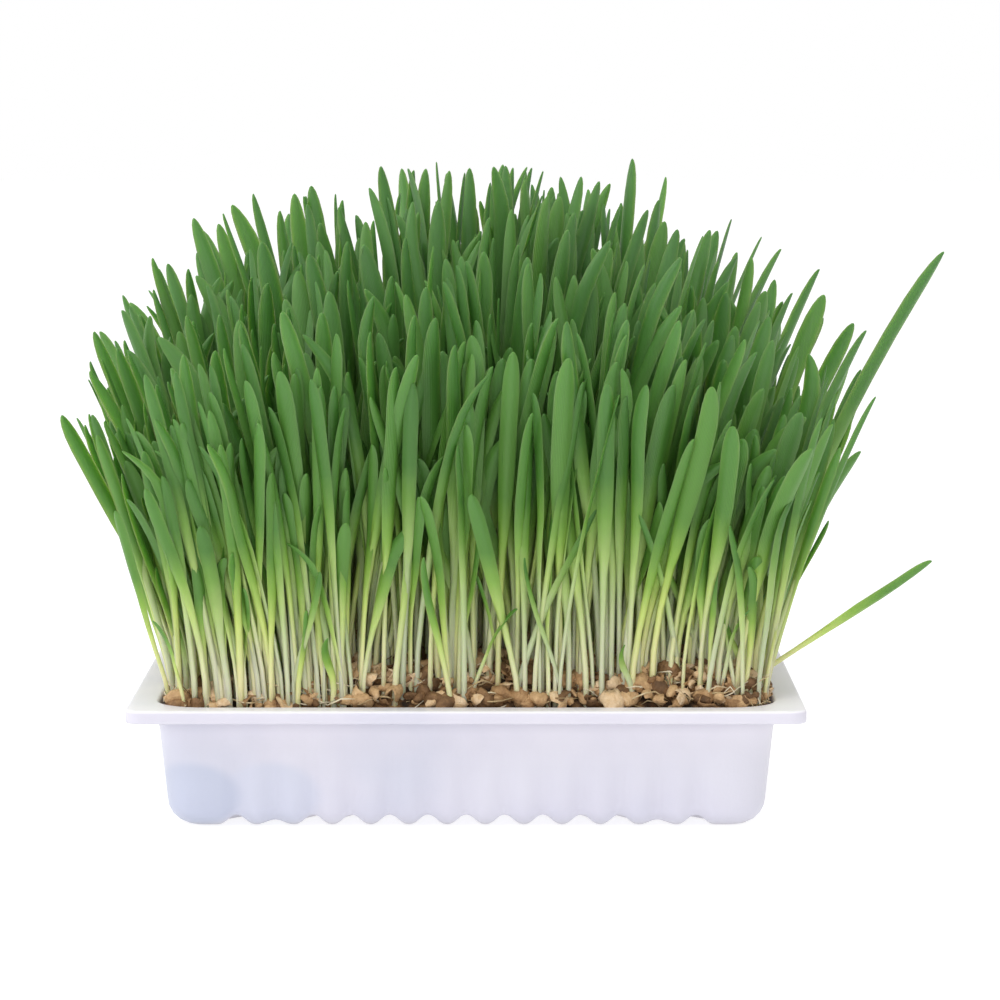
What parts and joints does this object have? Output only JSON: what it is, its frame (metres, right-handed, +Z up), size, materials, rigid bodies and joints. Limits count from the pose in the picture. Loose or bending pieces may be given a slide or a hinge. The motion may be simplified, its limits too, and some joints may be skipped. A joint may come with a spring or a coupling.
{
  "type": "wheatgrass tray",
  "caption": "Dense upright turf of young wheatgrass growing from a mat of seeds and roots on potting soil in a shallow white plastic tray with a flange and fluted walls.",
  "frame": {"origin": "centre of the tray's flat base panel, on the surface that the tray stands on", "axes": "+X along the tray's length, -Y towards its front, +Z up"},
  "size_m": [0.25, 0.1483, 0.1824],
  "materials": {
    "tray": "thin white thermoformed sheet, soft gloss",
    "soil": "damp potting soil with seed husks, matt",
    "wheatgrass": "living leaves, satin, pale at the foot"
  },
  "bodies": {
    "root": {"tray": "tray", "soil": "soil", "wheatgrass": "wheatgrass"}
  },
  "joints": []
}
